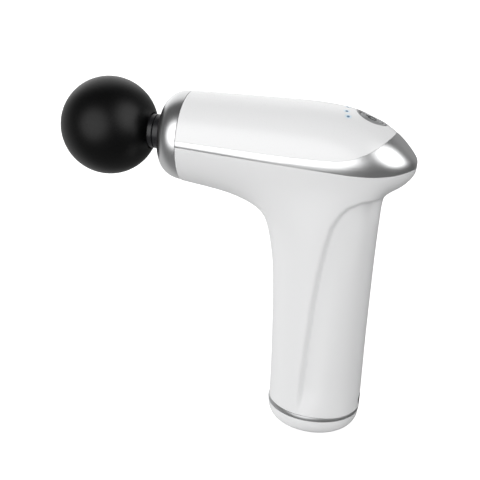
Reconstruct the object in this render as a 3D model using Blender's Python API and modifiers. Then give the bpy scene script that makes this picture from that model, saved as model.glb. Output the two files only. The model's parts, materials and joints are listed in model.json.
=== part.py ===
"""Handheld massage gun: housings, drive, battery, controls and ball head.

The part stands upright on the flat foot of its grip, whose centre is the
origin. +Z points up the grip, the barrel lies along X with the ball head
towards -X, and the gun is symmetric about the XZ plane.
"""
import math

import bmesh
import bpy
from mathutils import Matrix, Vector

MM = 0.001
# Gap at every seam and clearance around every fitted part, in millimetres.
GAP = 0.3
SEGMENTS = 22
# Subdivision pulls a cage inwards, so the cages are drawn this much larger.
BARREL_SWELL = 1 / 0.966
GRIP_SWELL = 1 / 0.974
# Half size of the cutters that take whole regions out of the body.
FAR = 60.0

# Driving dimensions, in millimetres.
AXIS_Z = 142.0
BALL_RADIUS = 25.0
BALL_X = -120.4
BARREL_FRONT_X = -77.3
NOSE_FRONT_X = -89.4
NOSE_RADIUS = 22.4
NOSE_FACE_RADIUS = 14.3
NOSE_BORE_RADIUS = 10.4
WALL = 2.2
BAND_BOTTOM_Z = 10.4
BAND_TOP_Z = 12.5
BAND_RADIUS = 23.8
FOOT_RADIUS = 16.5
STROKE = 10.0
PISTON_RADIUS = 8.7
PISTON_FRONT_X = -94.6
PISTON_REAR_X = -30.0
WRIST_X = -37.0
ROD_THICKNESS = 5.6
CELL_RADIUS = 9.1
CELL_LENGTH = 65.0
CELL_BOTTOM_Z = 24.4
JACK_Z = 16.5
JACK_RADIUS = 2.9
BUTTON_RADIUS = 6.3
BEZEL_RADIUS = 8.3
BUTTON_X = 12.8
BUTTON_Z = AXIS_Z + 20.6
BUTTON_SLOPE = math.radians(20.3)
LIGHT_RADIUS = 0.8

# Barrel sections: X, height over the axis, depth below it, half width.
BARREL_STATIONS = [
    (-77.3, 22.5, 22.9, 22.5),
    (-63.0, 23.1, 24.3, 23.1),
    (-49.0, 23.6, 26.2, 23.6),
    (-35.0, 24.1, 32.0, 24.1),
    (-14.0, 25.0, 25.5, 25.0),
    (7.0, 24.5, 24.0, 24.5),
    (22.5, 17.6, 15.8, 20.2),
    (30.6, 9.9, 11.8, 14.2),
    (35.6, 3.9, 5.6, 7.2),
]
HANDLE_FROM, HANDLE_TO = 3, 6
TAIL_TIP_X = 36.9
# Grip sections: front Z, rear Z, front X, rear X, half width.
HANDLE_STATIONS = [
    (-38.5, -23.0, -32.8, 22.2, 23.2),
    (-54.0, -46.0, -28.6, 22.0, 22.7),
    (-73.0, -73.0, -26.6, 22.4, 22.9),
    (-92.0, -92.0, -25.3, 22.7, 23.2),
    (-111.0, -111.0, -24.1, 23.3, 23.4),
    (-129.5, -129.5, -23.4, 23.9, 23.7),
]
# Edges of the bright trim on the side of the barrel, as X and height.
TRIM_TOP = [(-95, 0.8), (-27, 0.9), (-2, 1.6), (8, 3.3), (16.8, 7.6), (25, 14.2), (45, 31)]
TRIM_LOW = [(-95, -1.8), (-50, -2.8), (-2, -3.8), (9, -4.4), (19, -4.1), (29, -3.0), (45, -0.6)]


def clear_scene():
    for existing in list(bpy.data.objects):
        bpy.data.objects.remove(existing, do_unlink=True)


def make_collection(name):
    collection = bpy.data.collections.new(name)
    bpy.context.scene.collection.children.link(collection)
    return collection


clear_scene()
PARTS = make_collection("massage_gun")
CUTTERS = make_collection("massage_gun_cutters")


# ---------------------------------------------------------------- materials

FINISHES = {
    "white_shell": ((0.80, 0.80, 0.79), 0.32, 0.0),
    "satin_silver": ((0.66, 0.67, 0.69), 0.28, 0.9),
    "black_foam": ((0.022, 0.022, 0.024), 0.75, 0.0),
    "black_plastic": ((0.02, 0.02, 0.022), 0.35, 0.0),
    "grey_button": ((0.42, 0.43, 0.45), 0.4, 0.0),
    "blue_light": ((0.08, 0.28, 0.9), 0.2, 0.0),
    "steel": ((0.55, 0.56, 0.58), 0.3, 1.0),
    "aluminium": ((0.68, 0.69, 0.7), 0.4, 1.0),
    "brass": ((0.75, 0.56, 0.24), 0.35, 1.0),
    "copper": ((0.72, 0.35, 0.18), 0.4, 1.0),
    "rubber": ((0.03, 0.03, 0.03), 0.8, 0.0),
    "board_green": ((0.02, 0.16, 0.07), 0.5, 0.0),
    "cell_wrap": ((0.05, 0.2, 0.42), 0.45, 0.0),
    "lead_red": ((0.5, 0.03, 0.03), 0.5, 0.0),
}


def finish(name):
    """Return the named Principled material, made on first use."""
    if name in bpy.data.materials:
        return bpy.data.materials[name]
    colour, roughness, metallic = FINISHES[name]
    material = bpy.data.materials.new(name)
    material.use_nodes = True
    shader = material.node_tree.nodes["Principled BSDF"]
    shader.inputs["Base Color"].default_value = (*colour, 1.0)
    shader.inputs["Roughness"].default_value = roughness
    shader.inputs["Metallic"].default_value = metallic
    return material


# ------------------------------------------------------------- mesh helpers

def add_object(name, mesh, finish_name=None, matrix=Matrix()):
    """Link a mesh as a part, or as a cutter when it has no finish."""
    obj = bpy.data.objects.new(name, mesh)
    obj.matrix_world = matrix
    if finish_name is None:
        CUTTERS.objects.link(obj)
        obj.hide_render = True
        obj.display_type = "WIRE"
        return obj
    PARTS.objects.link(obj)
    mesh.materials.clear()
    mesh.materials.append(finish(finish_name))
    return obj


def place(x, y, z, direction=(0, 0, 1)):
    """Matrix that puts local Z along a direction at a point in millimetres."""
    turn = Vector((0, 0, 1)).rotation_difference(Vector(direction))
    return Matrix.Translation(Vector((x, y, z)) * MM) @ turn.to_matrix().to_4x4()


def baked(obj):
    """Replace an object's modifiers or curve with its evaluated mesh."""
    bpy.context.view_layer.update()
    depsgraph = bpy.context.evaluated_depsgraph_get()
    mesh = bpy.data.meshes.new_from_object(obj.evaluated_get(depsgraph))
    work = bmesh.new()
    work.from_mesh(mesh)
    bmesh.ops.remove_doubles(work, verts=work.verts, dist=0.00001)
    bmesh.ops.dissolve_limit(work, angle_limit=math.radians(0.5), verts=work.verts,
                             edges=work.edges)
    work.to_mesh(mesh)
    work.free()
    name, matrix = obj.name, obj.matrix_world.copy()
    collections = list(obj.users_collection)
    bpy.data.objects.remove(obj, do_unlink=True)
    solid = bpy.data.objects.new(name, mesh)
    solid.matrix_world = matrix
    for collection in collections:
        collection.objects.link(solid)
    solid.hide_render = CUTTERS in collections
    if solid.hide_render:
        solid.display_type = "WIRE"
    return solid


def round_mesh(name, radius, length, segments=SEGMENTS):
    """A cylinder of the given length that starts at its own origin."""
    work = bmesh.new()
    bmesh.ops.create_cone(
        work, cap_ends=True, segments=segments, radius1=radius * MM,
        radius2=radius * MM, depth=length * MM,
        matrix=Matrix.Translation((0, 0, length * MM / 2)))
    mesh = bpy.data.meshes.new(name)
    work.to_mesh(mesh)
    work.free()
    mesh.shade_smooth()
    mesh.set_sharp_from_angle(angle=math.radians(40))
    return mesh


def rod(name, radius, length, finish_name, matrix, segments=SEGMENTS):
    return add_object(name, round_mesh(name, radius, length, segments), finish_name, matrix)


def block(name, size, finish_name, matrix):
    """A box of the given size in millimetres, centred on its origin."""
    work = bmesh.new()
    scale = Matrix.Diagonal((*(Vector(size) * MM), 1.0))
    bmesh.ops.create_cube(work, size=1.0, matrix=scale)
    mesh = bpy.data.meshes.new(name)
    work.to_mesh(mesh)
    work.free()
    return add_object(name, mesh, finish_name, matrix)


def turned(name, outline, finish_name, matrix, steps=SEGMENTS):
    """Turn an (radius, height) outline about local Z.

    The outline runs down its outer side. A closed outline makes a ring.
    """
    work = bmesh.new()
    points = [work.verts.new((r * MM, 0, z * MM)) for r, z in outline]
    for first, second in zip(points, points[1:]):
        work.edges.new((first, second))
    if min(r for r, _ in outline) > 0:
        work.edges.new((points[-1], points[0]))
    mesh = bpy.data.meshes.new(name)
    work.to_mesh(mesh)
    work.free()
    obj = add_object(name, mesh, finish_name, matrix)
    screw = obj.modifiers.new("Turn", "SCREW")
    screw.axis = "Z"
    screw.angle = math.tau
    screw.steps = steps
    screw.render_steps = steps
    screw.use_merge_vertices = True
    screw.merge_threshold = 0.00001
    screw.use_smooth_shade = True
    return obj


def ring(name, outer, inner, length, finish_name, matrix, steps=SEGMENTS):
    outline = [(outer, length), (outer, 0), (inner, 0), (inner, length)]
    return turned(name, outline, finish_name, matrix, steps)


def plate(name, outline, thickness, finish_name, matrix):
    """A flat outline in local XY, extruded both ways along local Z."""
    curve = bpy.data.curves.new(name, "CURVE")
    curve.dimensions = "2D"
    curve.fill_mode = "BOTH"
    curve.extrude = thickness * MM / 2
    spline = curve.splines.new("POLY")
    spline.points.add(len(outline) - 1)
    for point, (x, y) in zip(spline.points, outline):
        point.co = (x * MM, y * MM, 0, 1)
    spline.use_cyclic_u = True
    if finish_name is None:
        return baked(add_object(name, curve, None, matrix))
    obj = bpy.data.objects.new(name, curve)
    obj.matrix_world = matrix
    PARTS.objects.link(obj)
    solid = baked(obj)
    solid.data.materials.append(finish(finish_name))
    return solid


def wire(name, points, radius, finish_name):
    """A round lead along a smooth line through points in millimetres."""
    curve = bpy.data.curves.new(name, "CURVE")
    curve.dimensions = "3D"
    curve.bevel_depth = radius * MM
    curve.bevel_resolution = 2
    curve.use_fill_caps = True
    path = smooth_path([Vector(p) for p in points], 4)
    spline = curve.splines.new("POLY")
    spline.points.add(len(path) - 1)
    for point, place_mm in zip(spline.points, path):
        point.co = (*(place_mm * MM), 1)
    curve.materials.append(finish(finish_name))
    obj = bpy.data.objects.new(name, curve)
    PARTS.objects.link(obj)
    return obj


def smooth_path(points, steps):
    """Points of a Catmull-Rom curve through the given ones."""
    ends = [points[0] * 2 - points[1], *points, points[-1] * 2 - points[-2]]
    path = []
    for i in range(1, len(ends) - 2):
        a, b, c, d = ends[i - 1:i + 3]
        for k in range(steps):
            t = k / steps
            path.append(0.5 * ((2 * b) + (c - a) * t + (2 * a - 5 * b + 4 * c - d) * t * t
                               + (3 * b - a - 3 * c + d) * t ** 3))
    path.append(points[-1])
    return path


def combine(obj, other, operation):
    """Add an exact Boolean against another mesh object."""
    modifier = obj.modifiers.new("Shape", "BOOLEAN")
    modifier.operation = operation
    modifier.solver = "EXACT"
    modifier.object = other
    return modifier


def arc(centre, radius, start, end, count):
    """Points of an arc in degrees, both ends included."""
    cx, cy = centre
    angles = [math.radians(start + (end - start) * i / count) for i in range(count + 1)]
    return [(cx + radius * math.cos(a), cy + radius * math.sin(a)) for a in angles]


# ------------------------------------------------------------ outer surface

def section_point(x, height, depth, width, angle):
    """Cage point of a barrel section, which is as wide to both sides."""
    reach = height if angle >= 0 else depth
    turn = math.radians(angle)
    return Vector((x, width * BARREL_SWELL * math.cos(turn),
                   reach * BARREL_SWELL * math.sin(turn)))


def body_cage():
    """Half cage of the barrel and grip, open at the nose and the base."""
    angles = [90 - 30 * i for i in range(7)]
    work = bmesh.new()

    def vertex(point):
        return work.verts.new((point + Vector((0, 0, AXIS_Z))) * MM)

    rings = []
    for station in BARREL_STATIONS:
        rings.append([section_point(*station, a) for a in angles])
    opening = range(HANDLE_FROM + 1, HANDLE_TO)
    rows = [[vertex(p) if not (i in opening and k > 4) else None for k, p in enumerate(row)]
            for i, row in enumerate(rings)]
    for i, (near, far) in enumerate(zip(rows, rows[1:])):
        last = 4 if HANDLE_FROM <= i < HANDLE_TO else 6
        for k in range(last):
            work.faces.new((near[k], near[k + 1], far[k + 1], far[k]))
    tail = rows[-1]
    tip = [vertex(Vector((TAIL_TIP_X, 0, rings[-1][k].z))) for k in (2, 3, 4)]
    work.faces.new((tail[0], tail[1], tail[2], tip[0]))
    for k in (0, 1):
        work.faces.new((tip[k], tail[k + 2], tail[k + 3], tip[k + 1]))
    work.faces.new((tip[2], tail[4], tail[5], tail[6]))
    edge = [rows[HANDLE_FROM][6], rows[HANDLE_FROM][5], *(rows[i][4] for i in
            range(HANDLE_FROM, HANDLE_TO + 1)), rows[HANDLE_TO][5], rows[HANDLE_TO][6]]
    for front_z, rear_z, front_x, rear_x, width in HANDLE_STATIONS:
        row = []
        for k in range(len(edge)):
            turn = math.pi * k / (len(edge) - 1)
            share = (1 - math.cos(turn)) / 2
            x = front_x + (rear_x - front_x) * (0.5 - 0.5 * GRIP_SWELL * math.cos(turn))
            z = front_z + (rear_z - front_z) * share
            row.append(vertex(Vector((x, width * GRIP_SWELL * math.sin(turn), z))))
        for k in range(len(edge) - 1):
            work.faces.new((edge[k + 1], edge[k], row[k], row[k + 1]))
        edge = row
    bmesh.ops.recalc_face_normals(work, faces=work.faces)
    mesh = bpy.data.meshes.new("body_cage")
    work.to_mesh(mesh)
    work.free()
    mesh.shade_smooth()
    return mesh


def body_shell(name, mesh, finish_name):
    """The body's wall as a closed solid, from the half cage."""
    obj = add_object(name, mesh.copy(), finish_name)
    mirror = obj.modifiers.new("Other half", "MIRROR")
    mirror.use_axis = (False, True, False)
    mirror.use_clip = True
    mirror.merge_threshold = 0.00001
    smooth = obj.modifiers.new("Smooth", "SUBSURF")
    smooth.levels = 1
    smooth.render_levels = 1
    wall = obj.modifiers.new("Wall", "SOLIDIFY")
    wall.thickness = WALL * MM
    wall.offset = -1.0
    return obj


def side_prism(name, outline, low_y, high_y):
    """A cutter with an XZ outline above the axis, from one Y to another."""
    turn = Matrix.Rotation(math.radians(90), 4, "X")
    middle = Matrix.Translation((0, (low_y + high_y) / 2 * MM, AXIS_Z * MM))
    return plate(name, outline, high_y - low_y, None, middle @ turn)


def shifted(line, offset):
    return [(x, z + offset) for x, z in line]


def cylinder_cutter(name, radius, length, matrix):
    return add_object(name, round_mesh(name, radius, length), None, matrix)


def button_place(along, lift, side=0.0):
    """Matrix on the button's axis: local Z leaves the cover squarely."""
    normal = Vector((math.sin(BUTTON_SLOPE), 0, math.cos(BUTTON_SLOPE)))
    tangent = Vector((math.cos(BUTTON_SLOPE), 0, -math.sin(BUTTON_SLOPE)))
    point = Vector((BUTTON_X, side, BUTTON_Z)) + normal * lift + tangent * along
    frame = Matrix((tangent, (0, 1, 0), normal)).transposed().to_4x4()
    return Matrix.Translation(point * MM) @ frame


# Indicator lights in an arc in front of the button: along the slope and side.
LIGHTS = [(-12.6, 0.0), (-11.6, 6.5), (-11.6, -6.5), (-9.6, 10.6), (-9.6, -10.6)]
LIGHT_DROP = [1.1, 1.95, 1.95, 3.3, 3.3]


def make_body():
    """Cut the wall into its four mouldings, with a gap at every seam."""
    cage = body_cage()
    half_gap = GAP / 2
    bottom = BAND_TOP_Z + GAP - AXIS_Z
    front = -82.0
    above = [*shifted(TRIM_TOP, half_gap), (45, FAR), (-95, FAR)]
    band = [*shifted(TRIM_LOW, half_gap), *reversed(shifted(TRIM_TOP, -half_gap))]
    below = [(front, -FAR), (-45, bottom), (45, bottom), *reversed(shifted(TRIM_LOW, -half_gap))]

    cover = body_shell("top_cover", cage, "white_shell")
    combine(cover, side_prism("cover_region", above, -FAR, FAR), "INTERSECT")
    combine(cover, cylinder_cutter("bezel_hole", BEZEL_RADIUS + GAP, 14, button_place(0, -8)),
            "DIFFERENCE")
    for i, (along, side) in enumerate(LIGHTS):
        hole = cylinder_cutter(f"light_hole_{i + 1}", LIGHT_RADIUS + GAP, 12,
                               button_place(along, -8, side))
        combine(cover, hole, "DIFFERENCE")

    trim = body_shell("tail_trim", cage, "satin_silver")
    combine(trim, side_prism("trim_region", band, -FAR, FAR), "INTERSECT")

    port = cylinder_cutter("port_hole", JACK_RADIUS + GAP, 20, place(14, 0, JACK_Z, (1, 0, 0)))
    for side, low, high in (("left", -FAR, -half_gap), ("right", half_gap, FAR)):
        housing = body_shell(f"{side}_housing", cage, "white_shell")
        region = side_prism(f"{side}_region", below, low, high)
        combine(housing, region, "INTERSECT")
        combine(housing, port, "DIFFERENCE")


def make_nose():
    """Domed ring that closes the barrel's front around the piston."""
    depth = BARREL_FRONT_X - GAP - NOSE_FRONT_X
    spread = NOSE_RADIUS - NOSE_FACE_RADIUS
    inner = 2.2
    outer = [(NOSE_FACE_RADIUS + spread * math.cos(a), depth * math.sin(a))
             for a in (math.radians(18 * i) for i in range(6))]
    lining = [(NOSE_FACE_RADIUS + (spread - inner) * math.cos(a), (depth - inner) * math.sin(a))
              for a in (math.radians(30 * i) for i in range(4))]
    profile = [(NOSE_BORE_RADIUS, depth), *reversed(outer), *lining,
               (NOSE_BORE_RADIUS, depth - inner)]
    turned("nose_ring", profile, "satin_silver",
           forward(BARREL_FRONT_X - GAP), 36)
    ring("front_seal", 15.0, PISTON_RADIUS + GAP, 2.0, "rubber",
         forward(NOSE_FRONT_X + inner + 2.3))


def make_base():
    """Bright band under the grip and the rounded cap that it stands on."""
    ring("base_ring", BAND_RADIUS, BAND_RADIUS - 2.4, BAND_TOP_Z - BAND_BOTTOM_Z,
         "satin_silver", place(0, 0, BAND_BOTTOM_Z), 40)
    height = BAND_BOTTOM_Z - GAP
    spread = BAND_RADIUS - 0.2 - FOOT_RADIUS
    turns = [math.radians(15 * i) for i in range(6)]
    outer = [(FOOT_RADIUS + spread * math.cos(a) ** 0.8, height - height * math.sin(a) ** 0.8)
             for a in turns]
    inside = [(0, 2.2), (FOOT_RADIUS, 2.2), (FOOT_RADIUS + 4.0, 5.6), (BAND_RADIUS - 2.4, height)]
    turned("base_cap", [*inside, *outer, (FOOT_RADIUS, 0), (0, 0)], "white_shell",
           place(0, 0, 0), 40)


# --------------------------------------------------------- head and linkage

def forward(x):
    """Matrix on the barrel axis whose local Z points to the ball head."""
    return place(x, 0, AXIS_Z, (-1, 0, 0))


STEM_RADIUS = 5.2
COLLAR_RADIUS = 8.0
STEM_FRONT_X = BALL_X + 9.3
PIN_RADIUS = 1.8
CRANK_RADIUS = STROKE / 2
SHAFT_RADIUS = 2.0
CRANK_BEARING_RADIUS = 5.2


def make_head():
    """Foam ball on a plastic stem that plugs into the piston."""
    bore = COLLAR_RADIUS + GAP
    rim = math.degrees(math.acos(bore / BALL_RADIUS))
    skin = arc((0, 0), BALL_RADIUS, 90, -rim, 14)
    floor = -(STEM_FRONT_X - BALL_X) + GAP
    turned("massage_ball", [(0, BALL_RADIUS), *skin[1:], (bore, floor), (0, floor)],
           "black_foam", forward(BALL_X), 32)
    shoulder = STEM_FRONT_X - PISTON_FRONT_X + GAP
    groove = shoulder - 10.0
    end = shoulder - 20.8
    outline = [(0, 0), (COLLAR_RADIUS, 0), (COLLAR_RADIUS, shoulder), (STEM_RADIUS, shoulder),
               (STEM_RADIUS, groove), (STEM_RADIUS - 0.8, groove),
               (STEM_RADIUS - 0.8, groove - 1.6), (STEM_RADIUS, groove - 1.6),
               (STEM_RADIUS, end + 1), (STEM_RADIUS - 1, end), (0, end)]
    turned("head_stem", outline, "black_plastic", forward(STEM_FRONT_X))
    ring("head_o_ring", STEM_RADIUS + 0.1, STEM_RADIUS - 0.5, 1.0, "rubber",
         forward(STEM_FRONT_X - groove + 1.3))


def make_piston():
    """Sliding tube with a socket for the stem and a clevis bore behind."""
    length = PISTON_REAR_X - PISTON_FRONT_X
    socket = length - 21.1
    outline = [(0, socket), (STEM_RADIUS + GAP, socket), (STEM_RADIUS + GAP, length),
               (PISTON_RADIUS - 0.6, length), (PISTON_RADIUS, length - 0.6),
               (PISTON_RADIUS, 0), (6.0, 0), (6.0, 13.0), (0, 13.0)]
    piston = turned("piston", outline, "black_plastic", forward(PISTON_REAR_X))
    cross = cylinder_cutter("wrist_hole", PIN_RADIUS + GAP, 30, place(WRIST_X, 0, AXIS_Z - 15))
    combine(piston, cross, "DIFFERENCE")
    rod("wrist_pin", PIN_RADIUS, 15.6, "steel", place(WRIST_X, 0, AXIS_Z - 7.8), 16)


def make_rod():
    """Connecting rod from the crank to the wrist pin, its origin on the pin."""
    reach = CRANK_RADIUS - WRIST_X
    big, small, shank = 7.6, 4.2, 2.8
    wide = math.degrees(math.asin(shank / big))
    narrow = math.degrees(math.asin(shank / small))
    outline = [*arc((reach, 0), big, wide - 180, 180 - wide, 18),
               *arc((0, 0), small, narrow, 360 - narrow, 10)]
    body = plate("connecting_rod", outline, ROD_THICKNESS, "aluminium",
                 place(WRIST_X, 0, AXIS_Z))
    low = AXIS_Z - 10
    combine(body, cylinder_cutter("big_end_hole", CRANK_BEARING_RADIUS + GAP, 20,
                                  place(CRANK_RADIUS, 0, low)), "DIFFERENCE")
    combine(body, cylinder_cutter("small_end_hole", PIN_RADIUS + GAP, 20,
                                  place(WRIST_X, 0, low)), "DIFFERENCE")
    ring("crank_bearing", CRANK_BEARING_RADIUS, PIN_RADIUS + GAP, ROD_THICKNESS - 0.6, "steel",
         place(CRANK_RADIUS, 0, AXIS_Z - ROD_THICKNESS / 2 + GAP), 20)


# -------------------------------------------------------------------- motor

CRANK_BOTTOM_Z = 131.5
CRANK_THICKNESS = 5.0
DECK_BOTTOM_Z = 126.0
DECK_THICKNESS = 3.0
MOUNT_BOTTOM_Z = 101.0
BELL_BOTTOM_Z = 97.5
BELL_RADIUS = 17.4
STATOR_BOTTOM_Z = 104.0
STATOR_HEIGHT = 14.0
TEETH = 9
SCREW_CIRCLE = 10.4


def make_crank():
    """Counterweighted crank on the motor shaft, with its pin behind."""
    top = CRANK_BOTTOM_Z + CRANK_THICKNESS
    outline = [*arc((0, 0), 9.6, -75, 75, 12), *arc((0, 0), 14.0, 95, 265, 16)]
    disc = plate("crank_disc", outline, CRANK_THICKNESS, "steel",
                 place(0, 0, CRANK_BOTTOM_Z + CRANK_THICKNESS / 2))
    for name, x, radius in (("shaft_hole", 0, SHAFT_RADIUS), ("pin_hole", CRANK_RADIUS, PIN_RADIUS)):
        hole = cylinder_cutter(name, radius + GAP, 12, place(x, 0, CRANK_BOTTOM_Z - 3))
        combine(disc, hole, "DIFFERENCE")
    rod("crank_pin", PIN_RADIUS, CRANK_THICKNESS + 1.8, "steel",
        place(CRANK_RADIUS, 0, CRANK_BOTTOM_Z + GAP), 16)
    rod("motor_shaft", SHAFT_RADIUS, top - BELL_BOTTOM_Z, "steel", place(0, 0, BELL_BOTTOM_Z), 16)


def make_rotor():
    """Bell of the outer rotor and the magnet ring inside it."""
    wall = BELL_RADIUS - 1.7
    height = 23.0
    outline = [(BELL_RADIUS, height), (BELL_RADIUS, 0.8), (BELL_RADIUS - 0.8, 0),
               (SHAFT_RADIUS + GAP, 0), (SHAFT_RADIUS + GAP, 2), (wall, 2), (wall, height)]
    turned("rotor_bell", outline, "steel", place(0, 0, BELL_BOTTOM_Z), 36)
    ring("magnet_ring", wall - GAP, wall - 1.4, 15.5, "steel",
         place(0, 0, STATOR_BOTTOM_Z - 0.5), 36)


def make_stator():
    """Toothed core between two winding heads, on the motor mount's tube."""
    tip, root, collar = 13.8, 9.8, 12.6
    pitch = 360 / TEETH
    outline = []
    for tooth in range(TEETH):
        middle = tooth * pitch
        for radius, angle in ((root, -12), (collar, -7), (collar, -15), (tip, -15), (tip, -5),
                              (tip, 5), (tip, 15), (collar, 15), (collar, 7), (root, 12)):
            turn = math.radians(middle + angle)
            outline.append((radius * math.cos(turn), radius * math.sin(turn)))
    core = plate("stator_core", outline, STATOR_HEIGHT, "steel",
                 place(0, 0, STATOR_BOTTOM_Z + STATOR_HEIGHT / 2))
    combine(core, cylinder_cutter("core_bore", 8.3, 20, place(0, 0, STATOR_BOTTOM_Z - 3)),
            "DIFFERENCE")
    above = STATOR_BOTTOM_Z + STATOR_HEIGHT + GAP
    for name, z in (("winding_upper", above), ("winding_lower", STATOR_BOTTOM_Z - 2.5)):
        ring(name, 13.2, 9.2, 2.2, "copper", place(0, 0, z))


def screw_spots():
    turns = [math.radians(45 + 90 * i) for i in range(4)]
    return [(SCREW_CIRCLE * math.cos(a), SCREW_CIRCLE * math.sin(a)) for a in turns]


def make_motor_mount():
    """Flanged tube that holds the stator, the bearings and four screws."""
    top = DECK_BOTTOM_Z - GAP
    height = top - MOUNT_BOTTOM_Z
    outline = [(12.8, height), (12.8, height - 3), (8.0, height - 3), (8.0, 0), (5.8, 0),
               (5.8, height)]
    mount = turned("motor_mount", outline, "aluminium", place(0, 0, MOUNT_BOTTOM_Z))
    for i, (x, y) in enumerate(screw_spots()):
        hole = cylinder_cutter(f"mount_hole_{i + 1}", 1.3, 12, place(x, y, top - 8))
        combine(mount, hole, "DIFFERENCE")
    for name, z in (("motor_bearing_lower", MOUNT_BOTTOM_Z + 1), ("motor_bearing_upper", top - 5)):
        ring(name, 5.5, SHAFT_RADIUS + GAP, 4.0, "steel", place(0, 0, z), 20)


def make_drive_frame():
    """Deck over the motor, joined to the wall that carries the guide."""
    outline = [*arc((0, 0), 17.0, -100, 100, 20), (-46.5, 12.0), (-46.5, -12.0)]
    deck = plate("drive_frame", outline, DECK_THICKNESS, "aluminium",
                 place(0, 0, DECK_BOTTOM_Z + DECK_THICKNESS / 2))
    wall = cylinder_cutter("frame_wall", 19.3, 3.0, forward(-45.0))
    combine(deck, wall, "UNION")
    combine(deck, cylinder_cutter("guide_hole", 13.3, 12, forward(-40.0)), "DIFFERENCE")
    combine(deck, cylinder_cutter("shaft_clearance", 4.2, 12, place(0, 0, 122)), "DIFFERENCE")
    head_z = DECK_BOTTOM_Z + DECK_THICKNESS + GAP
    for i, (x, y) in enumerate(screw_spots()):
        hole = cylinder_cutter(f"deck_hole_{i + 1}", 1.3, 12, place(x, y, 122))
        combine(deck, hole, "DIFFERENCE")
        turned(f"motor_screw_{i + 1}", [(0, 1.6), (1.9, 1.6), (1.9, 0), (1.0, 0), (1.0, -5.8),
                                        (0, -5.8)], "steel", place(x, y, head_z), 12)


def make_guide():
    """Guide sleeve through the frame wall and its two plain bushings."""
    rear, length, flange = -42.0, 34.0, 2.2
    outline = [(19.0, length), (19.0, length - flange), (13.0, length - flange), (13.0, 0),
               (10.7, 0), (10.7, length)]
    turned("guide_sleeve", outline, "aluminium", forward(rear))
    for name, x in (("guide_bushing_rear", -43.0), ("guide_bushing_front", -66.5)):
        ring(name, 10.4, PISTON_RADIUS + GAP, 9.0, "brass", forward(x))


# ------------------------------------------------------ battery and control

PACK_X = -1.5
PACK_CIRCLE = 10.7
HOLDER_RADIUS = 19.3
HARNESS_X = -17.0


def make_battery():
    """Three cells in a triangle, their links and the two holders."""
    rounded = [(0, CELL_LENGTH), (8.4, CELL_LENGTH), (CELL_RADIUS, CELL_LENGTH - 0.7),
               (CELL_RADIUS, 0.7), (8.4, 0), (0, 0)]
    spots = []
    for i in range(3):
        turn = math.radians(120 * i)
        spots.append((PACK_X + PACK_CIRCLE * math.cos(turn), PACK_CIRCLE * math.sin(turn)))
        turned(f"battery_cell_{i + 1}", rounded, "cell_wrap", place(*spots[i], CELL_BOTTOM_Z), 24)
    top = CELL_BOTTOM_Z + CELL_LENGTH
    for name, pair, z in (("nickel_link_lower", (0, 1), CELL_BOTTOM_Z - 0.55),
                          ("nickel_link_upper", (1, 2), top + 0.55)):
        (ax, ay), (bx, by) = (spots[i] for i in pair)
        turn = Matrix.Rotation(math.atan2(by - ay, bx - ax), 4, "Z")
        centre = Matrix.Translation(Vector(((ax + bx) / 2, (ay + by) / 2, z)) * MM)
        block(name, (24, 6, 0.4), "steel", centre @ turn)
    for name, z in (("cell_holder_lower", CELL_BOTTOM_Z - 4.1), ("cell_holder_upper", top + 1.1)):
        holder = rod(name, HOLDER_RADIUS, 2.8, "black_plastic", place(PACK_X, 0, z))
        hole = cylinder_cutter(f"{name}_hole", 1.9, 8, place(HARNESS_X, 0, z - 3))
        combine(holder, hole, "DIFFERENCE")


def make_charging():
    """Charge board above the cap, the round inlet and its centre pin."""
    rod("charge_board", 20.4, 1.4, "board_green", place(0, 0, 11.9))
    start, length, depth = 12.0, 11.5, 8.0
    outline = [(0, length - depth), (2.2, length - depth), (2.2, length), (JACK_RADIUS, length),
               (JACK_RADIUS, 0), (0, 0)]
    turned("charge_jack", outline, "black_plastic", place(start, 0, JACK_Z, (1, 0, 0)), 24)
    rod("charge_jack_pin", 0.9, 6.0, "steel",
        place(start + length - depth + GAP, 0, JACK_Z, (1, 0, 0)), 12)
    for name, y, colour in (("battery_lead_red", 5, "lead_red"),
                            ("battery_lead_black", -5, "rubber")):
        wire(name, [(-8, y, 13.7), (-9, y, 17), (-8, y, CELL_BOTTOM_Z - 4.5)], 0.8, colour)


def make_controls():
    """Power button with its ring, switch, boards, lights and harness."""
    sink = -0.5
    ring("button_bezel", BEZEL_RADIUS, BUTTON_RADIUS + GAP, 2.6, "satin_silver",
         button_place(0, sink - 2.4), 36)
    dished = [(0, 2.3), (4.6, 2.3), (5.2, 2.5), (BUTTON_RADIUS - 0.4, 2.5),
              (BUTTON_RADIUS, 2.1), (BUTTON_RADIUS, 0), (0, 0)]
    turned("power_button", dished, "grey_button", button_place(0, sink - 2.4), 36)
    block("button_switch", (4.6, 4.6, 1.9), "black_plastic", button_place(0, sink - 4.25))
    block("button_board", (20, 16, 1.2), "board_green", button_place(-1.5, sink - 6.2))
    block("control_board", (38, 21, 1.2), "board_green", place(-25.4, 0, AXIS_Z + 14.6))
    for i, (along, side) in enumerate(LIGHTS):
        rod(f"indicator_light_{i + 1}", LIGHT_RADIUS, 3.0, "blue_light",
            button_place(along, -LIGHT_DROP[i] - 3.0, side), 12)
    deck = DECK_BOTTOM_Z
    wire("main_harness", [(HARNESS_X, 0, 13.7), (HARNESS_X, 0, 55), (HARNESS_X, 0, 93.4),
                          (-20.6, 1.2, 96.3), (-24, 5, 102), (-24, 12, 113),
                          (-24, 16.8, deck - 1), (-24, 17.6, 140), (-24, 13, 149),
                          (-24, 9, 152.5), (-24, 8.6, 155.3)], 1.2, "rubber")
    wire("button_ribbon", [(-6.2, 0, AXIS_Z + 14.6), (-4.2, 0, AXIS_Z + 14.9),
                           (-2.2, 0, AXIS_Z + 16.4)], 0.7, "rubber")


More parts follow.
